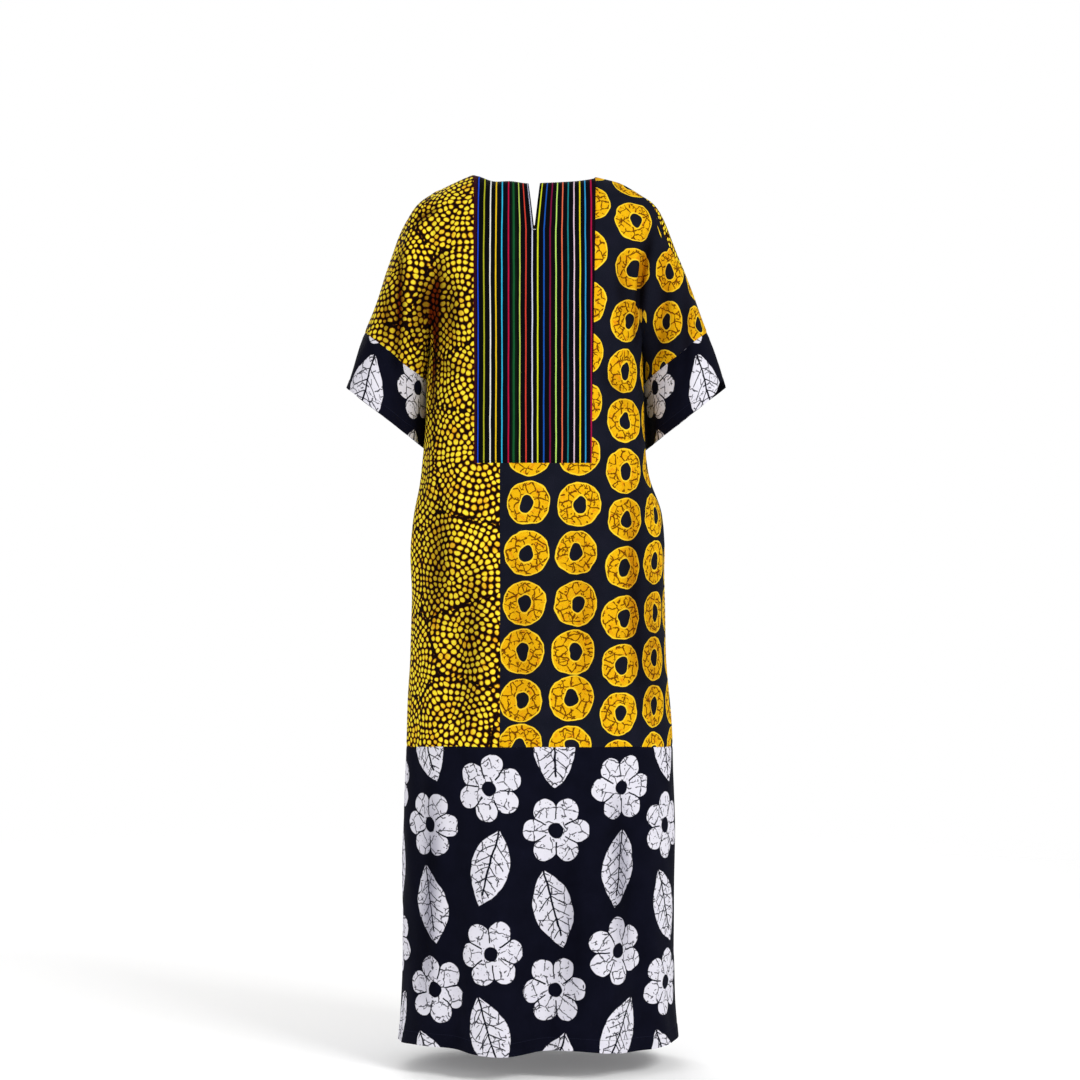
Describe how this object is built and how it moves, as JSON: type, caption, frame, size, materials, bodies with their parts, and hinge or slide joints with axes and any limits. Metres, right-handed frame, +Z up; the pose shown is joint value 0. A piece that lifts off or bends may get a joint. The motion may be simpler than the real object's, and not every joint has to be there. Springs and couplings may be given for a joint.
{
  "type": "maxi dress",
  "caption": "Worn, hollow kaftan-cut maxi dress with short wide sleeves, patched printed panels, a striped back inset with a neck slit, and deep navy hem and cuff bands.",
  "frame": {"origin": "on the centre line at the height of the neck corners, where the wearer's shoulders carry it", "axes": "+Z up along the hanging length, -Y the back of the dress, +Y its front, +X the wearer's right"},
  "size_m": [0.633, 0.373, 1.4336],
  "materials": {
    "dotted_cloth": "matt printed cotton, yellow dots on brown black",
    "ringed_cloth": "matt printed cotton, amber crackled rings on navy",
    "striped_cloth": "matt cotton, narrow bright stripes on near black",
    "navy_band_cloth": "matt printed cotton, off-white crackled motifs on navy"
  },
  "bodies": {
    "root": {"back_dot_panel": "dotted_cloth", "front_dot_panel": "dotted_cloth", "back_ring_panel": "ringed_cloth", "front_ring_panel": "ringed_cloth", "back_striped_panel": "striped_cloth", "hem_band_back": "navy_band_cloth", "hem_band_front": "navy_band_cloth", "sleeve_band_left": "navy_band_cloth", "sleeve_band_right": "navy_band_cloth"}
  },
  "joints": []
}
